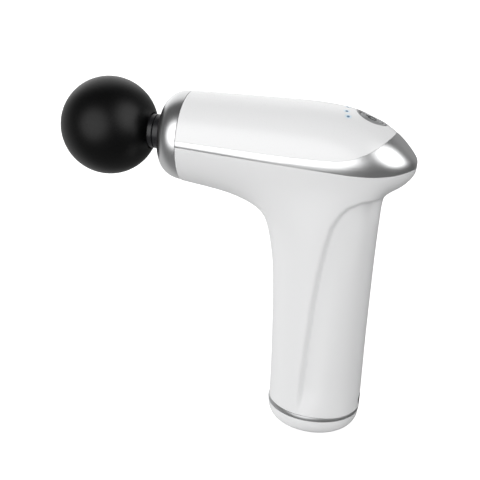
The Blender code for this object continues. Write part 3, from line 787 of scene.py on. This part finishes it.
@dataclass
class Shells:
    """Mouldings of the gun: cover, trim, two housings, nose, band and cap.

    All sizes are in millimetres, but for the height of the barrel's axis.
    """

    axis_z: float = field(default_factory=barrel_axis)
    wall: float = 2.0
    edge: float = 0.14
    half_gap: float = 0.04
    drill_depth: float = 14.0
    light_hole: float = 0.85
    port_hole: float = 3.35
    trim_crown: float = 0.1
    trim_rows: tuple[float, ...] = (0.12, 0.3, 0.5, 0.7, 0.88)
    nose_bore: float = 10.2
    nose_face: float = 13.6
    nose_fullness: float = 2.15
    nose_wall: float = 1.9
    band_wall: float = 2.2
    cap_face: float = 11.0
    cap_fullness: float = 2.35
    shell_level: int = 3
    grip_level: int = 4

    def _solid(self, name: str, work: bmesh.types.BMesh, finish: Finish) -> bpy.types.Object:
        """Give an open moulding its wall and its softened edges.

        Args:
            name: Name of the piece.
            work: The moulding's outer face. It is freed.
            finish: Finish of the piece.

        Returns:
            The moulding, with wall and edges as modifiers.
        """
        tidy_rim(work)
        obj = link_mesh(name, work, finish, sharp=60.0)
        wall = obj.modifiers.new("Wall", "SOLIDIFY")
        wall.thickness = self.wall * MM
        wall.offset = -1.0
        soft = obj.modifiers.new("Soft edges", "BEVEL")
        soft.limit_method = "ANGLE"
        soft.angle_limit = math.radians(50)
        soft.width = self.edge * MM
        soft.segments = 3
        soft.harden_normals = True
        return obj

    def _open(self, mesh: bpy.types.Mesh) -> bmesh.types.BMesh:
        """Open a working copy of the outer surface.

        Args:
            mesh: The outer surface, which stays as it is.

        Returns:
            The copy.
        """
        work = bmesh.new()
        work.from_mesh(mesh)
        return work

    def _drill(self, shell: bpy.types.Object, holes: Sequence[tuple[Matrix, float]]) -> None:
        """Drill round holes through a moulding's wall.

        Args:
            shell: The moulding, with its wall and soft edges as modifiers.
            holes: Axis and radius in millimetres of each hole.
        """
        work = bmesh.new()
        for place, radius in holes:
            bmesh.ops.create_cone(work, cap_ends=True, segments=int(24 + radius * 8),
                                  radius1=radius * MM, radius2=radius * MM,
                                  depth=self.drill_depth * MM, matrix=place)
        cutter = link_mesh("hole_cutter", work, SATIN_WHITE)
        cut = shell.modifiers.new("Holes", "BOOLEAN")
        cut.operation = "DIFFERENCE"
        cut.solver = "EXACT"
        cut.object = cutter
        shell.modifiers.move(len(shell.modifiers) - 1, 1)
        mesh = applied(shell)
        shell.modifiers.clear()
        shell.data = mesh
        bpy.data.objects.remove(cutter, do_unlink=True)

    def build_cover(self, surface: bpy.types.Mesh, panel: "ControlPanel") -> None:
        """Make the glossy cover over the barrel, with the button's seat.

        Args:
            surface: The body's outer surface.
            panel: The controls that the cover has holes for.
        """
        work = self._open(surface)
        cut_along(work, TRIM_TOP.height, SEAM_GAP / 2, self.axis_z, Keep.ABOVE)
        cover = self._solid("top_cover_moulding", work, GLOSS_WHITE)
        lights = [(place, self.light_hole) for place in panel.light_places(surface)]
        self._drill(cover, [(panel.place, panel.seat), *lights])
        settle(cover, "top_cover")

    def build_trim(self, surface: bpy.types.Mesh) -> None:
        """Make the bright trim along both flanks and over the tail.

        Args:
            surface: The body's outer surface.
        """
        work = self._open(surface)
        cut_along(work, TRIM_TOP.height, SEAM_GAP / 2, self.axis_z, Keep.BELOW)
        cut_along(work, TRIM_LOW.height, SEAM_GAP / 2, self.axis_z, Keep.ABOVE)
        tidy_rim(work)
        self._crown_trim(work)
        settle(self._solid("tail_trim_moulding", work, SATIN_CHROME), "tail_trim")

    def _crown_trim(self, work: bmesh.types.BMesh) -> None:
        """Crown the trim, highest between its two edges.

        Args:
            work: The trim's outer face.
        """
        def between(share: float) -> Callable[[float], float]:
            """Return the line that lies at a share of the way up the trim."""
            return lambda x: TRIM_LOW.height(x) * (1 - share) + TRIM_TOP.height(x) * share

        for share in self.trim_rows:
            cut_along(work, between(share), 0.0, self.axis_z, Keep.BOTH)
        work.normal_update()
        low, top = between(0.0), between(1.0)
        for vert in work.verts:
            x, z = vert.co.x / MM, (vert.co.z - self.axis_z) / MM
            share = min(max((z - low(x)) / (top(x) - low(x)), 0.0), 1.0)
            vert.co += vert.normal * (self.trim_crown * MM * 4 * share * (1 - share))

    def build_housings(self, surface: bpy.types.Mesh) -> None:
        """Make the left and right housings, with the scoop in each flank.

        Args:
            surface: The body's outer surface.
        """
        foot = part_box("base_ring")[1].z + SEAM_GAP
        for side, keep in (("left", -1), ("right", 1)):
            work = self._open(surface)
            GripScoop(self.axis_z).press(work)
            cut_along(work, TRIM_LOW.height, SEAM_GAP / 2, self.axis_z, Keep.BELOW)
            cut_flat(work, Vector((0, 0, foot)), UPWARD)
            cut_flat(work, Vector((0, keep * self.half_gap * MM, 0)), Vector((0, keep, 0)))
            piece = self._solid(f"{side}_housing_moulding", work, SATIN_WHITE)
            port = Vector((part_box("charge_jack")[1].x, 0, middle("charge_jack").z))
            self._drill(piece, [(axis_matrix(port, REARWARD), self.port_hole)])
            settle(piece, f"{side}_housing")

    def build_nose(self) -> None:
        """Make the domed ring around the piston and its rubber seal."""
        low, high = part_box("nose_ring")
        depth = (high.x - low.x) / MM
        rim = (high.z - low.z) / 2 / MM
        bore, wall = self.nose_bore, self.nose_wall
        skin = dome(self.nose_face, rim, depth, self.nose_fullness)
        lining = [(r - wall, h - wall) for r, h in reversed(skin) if h > wall]
        profile = [(bore, depth - wall), (bore, depth - 0.7), (bore + 0.25, depth - 0.2),
                   (bore + 0.8, depth), *skin, (rim - wall, 0.0), *lining]
        place = axis_matrix(Vector((high.x, 0, self.axis_z)), FORWARD)
        settle(lathe("nose_ring_dome", profile, place, SATIN_CHROME, 144), "nose_ring")
        low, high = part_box("front_seal")
        inner = (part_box("piston")[1].z - self.axis_z) / MM + 0.25
        lip = rounded([(14.6, 0, 0), (14.6, 2.0, 0.4), (12.4, 2.0, 0.5), (11.6, 1.2, 0.5),
                       (10.6, 2.0, 0.4), (inner, 1.4, 0.4), (inner, 0.4, 0.2), (11.0, 0, 0.3)])
        place = axis_matrix(Vector((high.x, 0, self.axis_z)), FORWARD)
        settle(lathe("front_seal_lip", lip, place, BLACK_RUBBER), "front_seal")

    def build_foot(self) -> None:
        """Make the bright band and the rounded cap with its flat foot."""
        low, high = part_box("base_ring")
        outer = (high.x - low.x) / 2 / MM
        tall = (high.z - low.z) / MM
        inner = outer - self.band_wall
        band = rounded([(inner, 0, 0), (outer - 0.1, 0, 0.25), (outer + 0.05, tall / 2, 0.8),
                        (outer - 0.1, tall, 0.25), (inner, tall, 0)])
        place = axis_matrix(Vector((0, 0, low.z)), UPWARD)
        settle(lathe("base_band", band, place, BAND_SILVER, 160), "base_ring")
        low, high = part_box("base_cap")
        top = (high.z - low.z) / MM
        rim = (high.x - low.x) / 2 / MM
        curve = dome(self.cap_face, rim, top, self.cap_fullness, 28)
        skin = [(r, top - h) for r, h in reversed(curve)]
        profile = [(0, 2.0), (15.0, 2.0), (19.5, 5.0), (rim - self.band_wall, top),
                   (rim - 0.3, top), *skin, (0, 0)]
        settle(lathe("base_cap_moulding", profile, Matrix(), SATIN_WHITE, 160), "base_cap")

    def build(self, panel: "ControlPanel") -> None:
        """Make every moulding of the gun's outside.

        Args:
            panel: The controls, which are built on the cover's surface.
        """
        surface = BodySurface(self.axis_z)
        fine = surface.mesh(self.shell_level)
        self.build_cover(fine, panel)
        panel.build(fine)
        self.build_trim(fine)
        self.build_housings(surface.mesh(self.grip_level))
        self.build_nose()
        self.build_foot()


# ---------------------------------------------------------- head and plunger

@dataclass
class Head:
    """Foam ball and its plug-in stem, with sizes in millimetres."""

    axis_z: float = field(default_factory=barrel_axis)
    neck: float = 8.6
    socket: float = 8.9
    socket_depth: float = 9.0
    stem: float = 5.2
    groove_floor: float = 4.4
    groove_width: float = 1.6
    clearance: float = 0.25
    arc_steps: int = 72

    def build(self) -> None:
        """Make the ball and the stem, which ride on the head."""
        low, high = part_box("massage_ball")
        radius = (high.z - low.z) / 2 / MM
        centre = Vector((low.x + radius * MM, 0, self.axis_z))
        stop = math.acos((self.socket + 0.9) / radius)
        steps = self.arc_steps
        turns = [math.pi / 2 - (math.pi / 2 + stop) * k / steps for k in range(steps + 1)]
        skin = [(radius * math.cos(a), radius * math.sin(a)) for a in turns]
        skin[0] = (0.0, radius)
        rim = skin[-1][1]
        mouth = [(self.socket + 0.35, rim - 0.25), (self.socket, rim + 0.5),
                 (self.socket, -self.socket_depth), (0.0, -self.socket_depth)]
        ball = lathe("foam_ball", skin + mouth, axis_matrix(centre, FORWARD), FOAM_BLACK, 144)
        settle(ball, "massage_ball")
        low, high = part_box("head_stem")
        length = (high.x - low.x) / MM
        collar = (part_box("piston")[0].x - low.x) / MM - self.clearance
        groove = (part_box("head_o_ring")[1].x - low.x) / MM + self.clearance
        stem, floor, edge = self.stem, self.groove_floor, -groove + self.groove_width
        profile = rounded([(0, 0, 0), (self.neck, 0, 0.3), (self.neck, -collar, 0.25),
                           (stem, -collar, 0.2), (stem, edge, 0.1), (floor, edge, 0.1),
                           (floor, -groove, 0.1), (stem, -groove, 0.1),
                           (stem, -length + 1.5, 0.4), (3.8, -length, 0.6), (0, -length, 0)])
        place = axis_matrix(Vector((low.x, 0, self.axis_z)), FORWARD)
        settle(lathe("head_stem_plug", profile, place, BLACK_NYLON), "head_stem")


@dataclass
class Plunger:
    """Piston whose front end shows between the nose and the ball.

    Its sizes are in millimetres: the head's socket in front, and the room
    for the connecting rod at the rear.
    """

    axis_z: float = field(default_factory=barrel_axis)
    socket: float = 5.5
    socket_depth: float = 21.0
    rod_room: float = 6.0
    rod_depth: float = 13.0
    chamfer: float = 0.35

    def build(self) -> None:
        """Make the piston with a chamfered mouth for the head's stem."""
        low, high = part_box("piston")
        mouth = (high.x - low.x) / MM
        outer = (high.z - low.z) / 2 / MM
        end, rim = mouth - self.socket_depth, self.chamfer
        profile = rounded([
            (0, end, 0), (self.socket, end, 0), (self.socket, mouth - 0.8, 0.2),
            (self.socket + 0.8, mouth, 0.2), (outer - rim, mouth, 0.15),
            (outer, mouth - rim, 0.15), (outer, 0, 0.3), (self.rod_room, 0, 0.2),
            (self.rod_room, self.rod_depth, 0), (0, self.rod_depth, 0)], steps=3)
        place = axis_matrix(Vector((high.x, 0, self.axis_z)), FORWARD)
        settle(lathe("piston_sleeve", profile, place, BLACK_NYLON), "piston")


# ------------------------------------------------------------------ controls

@dataclass
class ControlPanel:
    """Power button in its ring on the tail's slope, and five lights.

    Sizes are in millimetres. The top is measured from the middle of the
    CAD's button, and the crown is the radius of the panel across the gun.
    """

    ring_radius: float = 7.9
    ring_width: float = 1.7
    cap_radius: float = 5.9
    seat: float = 8.15
    top: float = 0.8
    crown: float = 19.0
    sign_radius: float = 2.3
    sign_gap: float = 38.0
    sign_line: float = 0.28
    lights: int = 5
    # Outer and inner radius in millimetres, and strength, of the glow painted into the cover round each light.
    halo: Point2 = (2.2, 0.6)
    halo_strength: float = 0.8
    place: Matrix = field(init=False)
    normal: Vector = field(init=False)

    def __post_init__(self) -> None:
        """Find the slope's own frame, at the middle of the button's top."""
        press = next(j for j in frame["joints"] if j["name"] == "power_button_press")
        self.normal = -Vector(press["axis"]).normalized()
        tangent = Vector((self.normal.z, 0, -self.normal.x))
        top = middle("power_button") + self.normal * self.top * MM
        axes = Matrix((tangent, Vector((0, 1, 0)), self.normal)).transposed()
        self.place = Matrix.Translation(top) @ axes.to_4x4()

    def _crowned(self, side: float) -> float:
        """Return how far the panel falls away at a distance from its middle."""
        return -side * side / (2 * self.crown)

    def _crown(self, obj: bpy.types.Object) -> bpy.types.Object:
        """Bend a turned piece so that it follows the cover's round back.

        Args:
            obj: The piece, turned about the button's axis.

        Returns:
            The same piece.
        """
        back = self.place.inverted()
        for vert in obj.data.vertices:
            spot = back @ vert.co
            spot.z += self._crowned(spot.y / MM) * MM
            vert.co = self.place @ spot
        return obj

    def build_button(self) -> None:
        """Make the ring, the stepped cap and the raised standby sign."""
        outer = self.ring_radius
        inner = outer - self.ring_width
        ring = rounded([(inner, -2.4, 0), (outer, -2.4, 0.1), (outer, 0.1, 0.5),
                        (outer - 0.6, 0.45, 0.3), (outer - 1.1, 0.25, 0.2), (inner, 0.1, 0.2)])
        bezel = lathe("button_ring", ring, self.place, BEZEL_GREY, 128)
        settle(self._crown(bezel), "button_bezel")
        cap = self.cap_radius
        steps = rounded([(0, 0.05, 0), (3.7, 0.05, 0.3), (4.0, -0.25, 0.15), (4.35, -0.25, 0.15),
                         (4.6, 0.1, 0.2), (cap - 0.7, 0.1, 0.3), (cap - 0.1, -0.1, 0.3),
                         (cap, -0.6, 0.1), (cap, -1.7, 0), (0, -1.7, 0)])
        steps[0:1] = [(0, 0.05), (1.2, 0.05), (2.4, 0.05)]
        button = lathe("power_button_cap", steps, self.place, BUTTON_GREY, 128)
        settle(self._crown(button), "power_button")
        self._sign()

    def _sign(self) -> None:
        """Make the open circle and the bar of the standby sign."""
        gap = math.radians(self.sign_gap)
        turns = [gap + math.pi + (math.tau - 2 * gap) * k / 28 for k in range(29)]
        circle = [(self.sign_radius * math.cos(a), self.sign_radius * math.sin(a))
                  for a in turns]
        bar = [(-3.1, 0.0), (-1.9, 0.0), (-0.6, 0.0)]
        for name, line in (("standby_circle", circle), ("standby_bar", bar)):
            curve = bpy.data.curves.new(name, "CURVE")
            curve.dimensions = "3D"
            curve.bevel_depth = self.sign_line * MM
            curve.bevel_resolution = 3
            curve.use_fill_caps = True
            spline = curve.splines.new("POLY")
            spline.points.add(len(line) - 1)
            for point, (along, side) in zip(spline.points, line):
                spot = self.place @ (Vector((along, side, self._crowned(side) + 0.1)) * MM)
                point.co = (*spot, 1)
            curve.materials.append(SYMBOL_GREY.material())
            sign = in_scene(name, curve)
            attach(sign, "button")

    def light_places(self, surface: bpy.types.Mesh) -> list[Matrix]:
        """Return each light's axis, from its seat on the cover's surface.

        Args:
            surface: The body's outer surface.

        Returns:
            A matrix for each light, with Z out of the surface.
        """
        tree = BVHTree.FromPolygons([v.co for v in surface.vertices],
                                    [p.vertices for p in surface.polygons])
        places = []
        for i in range(1, self.lights + 1):
            spot, normal, _, _ = tree.ray_cast(middle(f"indicator_light_{i}"), self.normal)
            outward = normal if normal.z > 0 else -normal
            places.append(axis_matrix(spot, outward))
        return places

    def build_lights(self, surface: bpy.types.Mesh) -> None:
        """Make the domed lenses in an arc in front of the button.

        Args:
            surface: The body's outer surface.
        """
        for i, place in enumerate(self.light_places(surface), 1):
            lens = rounded([(0, 0.12, 0), (0.4, 0.1, 0.1), (0.66, -0.06, 0.15),
                            (0.74, -0.3, 0.15), (0.74, -3.0, 0.1), (0, -3.0, 0)])
            settle(lathe(f"light_lens_{i}", lens, place, LENS_BLUE, 32), f"indicator_light_{i}")

    def _paint_glow_halo(self, surface: bpy.types.Mesh) -> None:
        """Paint the lights' pale blue glow into the cover's colour around them, as painted light on the cover.

        Args:
            surface: The body's outer surface.
        """
        tree = GLOSS_WHITE.material().node_tree
        shader = tree.nodes["Principled BSDF"]
        plain = shader.inputs["Base Color"].links[0].from_socket
        place = wire(tree, "TexCoord", {}, "Object")
        # Outer and inner radius of the glow that is painted round each light.
        outside, inside = self.halo
        halo: bpy.types.NodeSocket | float = 0.0
        for spot in self.light_places(surface):
            reach = wire(tree, "VectorMath", {0: place, 1: spot.translation}, "Value",
                         operation="DISTANCE")
            near = wire(tree, "MapRange", {
                "Value": reach, "From Min": outside * MM, "From Max": inside * MM,
                "To Max": self.halo_strength}, "Result", interpolation_type="SMOOTHSTEP")
            halo = wire(tree, "Math", {0: halo, 1: near}, "Value", operation="MAXIMUM")
        # The pale blue is the lights' glow, painted into the cover's base colour.
        colour = wire(tree, "Mix", {"Factor": halo, "A": plain, "B": (0.62, 0.80, 0.92, 1.0)},
                      "Result", data_type="RGBA")
        tree.links.new(colour, shader.inputs["Base Color"])

    def build(self, surface: bpy.types.Mesh) -> None:
        """Make the whole panel on the cover's surface.

        Args:
            surface: The body's outer surface.
        """
        self.build_button()
        self.build_lights(surface)
        # Paints the lights' blue glow into the cover's colour.
        self._paint_glow_halo(surface)


@dataclass
class ChargePort:
    """Round charging inlet at the back of the grip, with sizes in millimetres."""

    bore: float = 2.15
    bore_depth: float = 8.0
    lip: float = 0.25
    pin: float = 0.9

    def build(self) -> None:
        """Make the inlet's sleeve with its chamfer, and the centre pin."""
        low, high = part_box("charge_jack")
        length = (high.x - low.x) / MM
        outer = (high.z - low.z) / 2 / MM
        end, lip = length - self.bore_depth, outer + self.lip
        profile = rounded([(0, end, 0), (self.bore, end, 0.2), (self.bore, length - 0.6, 0.2),
                           (self.bore + 0.35, length, 0.15), (lip, length + 0.1, 0.25),
                           (lip, length - 0.6, 0.2), (outer, length - 0.8, 0.1),
                           (outer, 0, 0.3), (0, 0, 0)])
        place = axis_matrix(Vector((low.x, 0, middle("charge_jack").z)), REARWARD)
        settle(lathe("charge_inlet", profile, place, BLACK_NYLON, 64), "charge_jack")
        low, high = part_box("charge_jack_pin")
        length = (high.x - low.x) / MM
        pin = rounded([(0, length, 0), (self.pin, length, 0.6), (self.pin, 0, 0.1), (0, 0, 0)])
        place = axis_matrix(Vector((low.x, 0, middle("charge_jack_pin").z)), REARWARD)
        settle(lathe("charge_inlet_pin", pin, place, STEEL, 40), "charge_jack_pin")


@dataclass
class Works:
    """Drive, battery and boards inside the shells, as the frame has them."""

    replaced: tuple[str, ...] = (
        "top_cover", "tail_trim", "left_housing", "right_housing", "nose_ring", "front_seal",
        "base_ring", "base_cap", "massage_ball", "head_stem", "piston", "button_bezel",
        "power_button", "charge_jack", "charge_jack_pin")

    def dress(self) -> None:
        """Give each CAD node that stays the finish of its slot."""
        for name, node in sorted(frame["nodes"].items()):
            if name in self.replaced or name.startswith("indicator_light"):
                continue
            node.data.materials.clear()
            node.data.materials.append(SLOT_FINISH[slot_of(name)].material())
            LOG.info("%s wears %s", name, SLOT_FINISH[slot_of(name)].name)


# -------------------------------------------------------------------- studio

@dataclass(frozen=True)
class Softbox:
    """An area light: where it hangs, its width and height and its brightness."""

    name: str
    aim: Point2
    size: Point2
    radiance: float


@dataclass(frozen=True)
class Glow:
    """A round soft glow in the room's light.

    The aim is azimuth and elevation in degrees. The glow is even up to the
    core's angle from there, and gone at the rim's.
    """

    aim: Point2
    core: float
    rim: float
    radiance: float


@dataclass
class Studio:
    """Pale floor, soft lights and the camera.

    Angles are in degrees, places in metres, and the grades give the room's
    brightness against the sine of the elevation.
    """

    azimuth: float = 14.03
    elevation: float = 17.57
    roll: float = 4.7
    lens: float = 67.5
    camera_spot: tuple[float, float, float] = (0.05975, -0.42638, 0.23066)
    target: tuple[float, float, float] = (-0.045, 0.0, 0.085)
    light_distance: float = 1.3
    floor_reach: float = 30.0
    floor_drop: float = 0.2 * MM
    floor_colour: float = 0.5
    floor_glow: float = 0.82
    grades: tuple[Point2, ...] = (
        (-1.0, 0.24), (-0.7, 0.17), (-0.3, 0.11), (0.0, 0.09), (0.3, 0.09), (1.0, 0.08))
    glows: tuple[Glow, ...] = (
        Glow((-15, 8), 23, 40, 2.0), Glow((72, 27), 16, 38, 2.4), Glow((-150, 33), 14, 42, 0.9),
        Glow((-125, -18), 20, 60, 0.42), Glow((165, 20), 15, 45, 0.22))
    softboxes: tuple[Softbox, ...] = (
        Softbox("top_softbox", (180, 32), (1.0, 1.0), 3.3),
        Softbox("left_softbox", (-75, 8), (0.8, 0.8), 3.4),
        Softbox("front_softbox", (-45, 30), (0.8, 0.8), 0.6),
        Softbox("low_softbox", (-20, -65), (1.0, 1.0), 1.2))

    def _aim(self, azimuth: float, elevation: float) -> Vector:
        """Return a direction: azimuth 0 is the front, 90 the tail's side."""
        turn, lift = math.radians(azimuth), math.radians(elevation)
        return Vector((math.sin(turn) * math.cos(lift), -math.cos(turn) * math.cos(lift),
                       math.sin(lift)))

    def _axes(self) -> tuple[Vector, Vector, Vector]:
        """Turn the camera's angles into directions, roll included.

        Returns:
            The camera's right, up and back directions.
        """
        turn, roll = math.radians(self.azimuth), math.radians(self.roll)
        back = self._aim(self.azimuth, self.elevation)
        level = Vector((math.cos(turn), math.sin(turn), 0))
        right = level * math.cos(roll) + back.cross(level) * math.sin(roll)
        return right, back.cross(right), back

    def _camera(self) -> None:
        """Place the camera."""
        right, up, back = self._axes()
        data = bpy.data.cameras.new("studio_camera")
        data.lens = self.lens
        data.sensor_width = 36.0
        data.clip_start = 0.01
        data.clip_end = 100.0
        camera = in_scene("studio_camera", data)
        axes = Matrix((right, up, back)).transposed().to_4x4()
        camera.matrix_world = Matrix.Translation(Vector(self.camera_spot)) @ axes
        bpy.context.scene.camera = camera

    def _floor(self) -> None:
        """Lay a plain pale floor just under the foot, which only the camera sees."""
        work = bmesh.new()
        bmesh.ops.create_grid(work, x_segments=1, y_segments=1, size=self.floor_reach)
        bmesh.ops.translate(work, verts=work.verts, vec=(0, 0, -self.floor_drop))
        mesh = to_mesh("studio_floor", work)
        paint = bpy.data.materials.new("studio_floor")
        paint.use_nodes = True
        grey = self.floor_colour
        for socket, value in (("Base Color", (grey, grey, grey, 1.0)), ("Roughness", 0.9),
                              ("Specular IOR Level", 0.0), ("Emission Color", (1, 1, 1, 1)),
                              ("Emission Strength", self.floor_glow)):
            paint.node_tree.nodes["Principled BSDF"].inputs[socket].default_value = value
        mesh.materials.append(paint)
        floor = in_scene("studio_floor", mesh)
        floor.visible_glossy = False
        floor.visible_diffuse = False
        floor.visible_shadow = False

    def _hang(self, box: Softbox) -> None:
        """Hang an area light that looks at the gun and shows in no reflection.

        Args:
            box: The light's place, size and brightness.
        """
        width, height = box.size
        data = bpy.data.lights.new(box.name, "AREA")
        data.shape = "RECTANGLE"
        data.size, data.size_y = width, height
        data.energy = box.radiance * math.pi * width * height
        light = in_scene(box.name, data)
        light.visible_glossy = False
        aim = self._aim(*box.aim)
        light.matrix_world = (Matrix.Translation(Vector(self.target) + aim * self.light_distance)
                              @ aim.to_track_quat("Z", "Y").to_matrix().to_4x4())

    def _surround(self) -> None:
        """Grade the room's light by height, with soft glows and a plain pale backdrop."""
        world = bpy.data.worlds.new("studio_room")
        world.use_nodes = True
        tree = world.node_tree
        direction = wire(tree, "TexCoord", {}, "Generated")
        height = wire(tree, "SeparateXYZ", {"Vector": direction}, "Z")
        share = wire(tree, "MapRange", {"Value": height, "From Min": -1.0}, "Result")
        ramp = tree.nodes.new("ShaderNodeValToRGB")
        stops = ramp.color_ramp.elements
        stops.remove(stops[1])
        for k, (sine, grey) in enumerate(self.grades):
            stop = stops[0] if k == 0 else stops.new((sine + 1) / 2)
            stop.position = (sine + 1) / 2
            stop.color = (grey, grey, grey, 1.0)
        tree.links.new(share, ramp.inputs["Fac"])
        light = ramp.outputs["Color"]
        for glow in self.glows:
            light = wire(tree, "Math", {0: light, 1: self._shine(tree, direction, glow)}, "Value")
        seen = wire(tree, "LightPath", {}, "Is Camera Ray")
        pale = wire(tree, "Math", {0: light, 1: seen}, "Value", operation="MAXIMUM")
        tree.links.new(pale, tree.nodes["Background"].inputs["Color"])
        bpy.context.scene.world = world

    def _shine(self, tree: bpy.types.NodeTree, direction: bpy.types.NodeSocket,
               glow: Glow) -> bpy.types.NodeSocket:
        """Return the brightness that a glow has in the direction looked in.

        Args:
            tree: Node tree of the world.
            direction: Direction that is looked in.
            glow: The glow.

        Returns:
            The socket that carries the brightness.
        """
        near = wire(tree, "VectorMath", {0: direction, 1: self._aim(*glow.aim)}, "Value",
                    operation="DOT_PRODUCT")
        return wire(tree, "MapRange", {
            "Value": near, "From Min": math.cos(math.radians(glow.rim)),
            "From Max": math.cos(math.radians(glow.core)), "To Max": glow.radiance}, "Result",
            interpolation_type="SMOOTHSTEP")

    def build(self) -> None:
        """Set up the whole studio."""
        bpy.context.scene.view_settings.view_transform = "Standard"
        self._camera()
        self._floor()
        self._surround()
        for box in self.softboxes:
            self._hang(box)


def main() -> None:
    """Build the gun's visible pieces in order, then the studio."""
    logging.basicConfig(level=logging.INFO, format="%(message)s")
    Shells().build(ControlPanel())
    Head().build()
    Plunger().build()
    ChargePort().build()
    Works().dress()
    Studio().build()


if __name__ == "__main__":
    main()
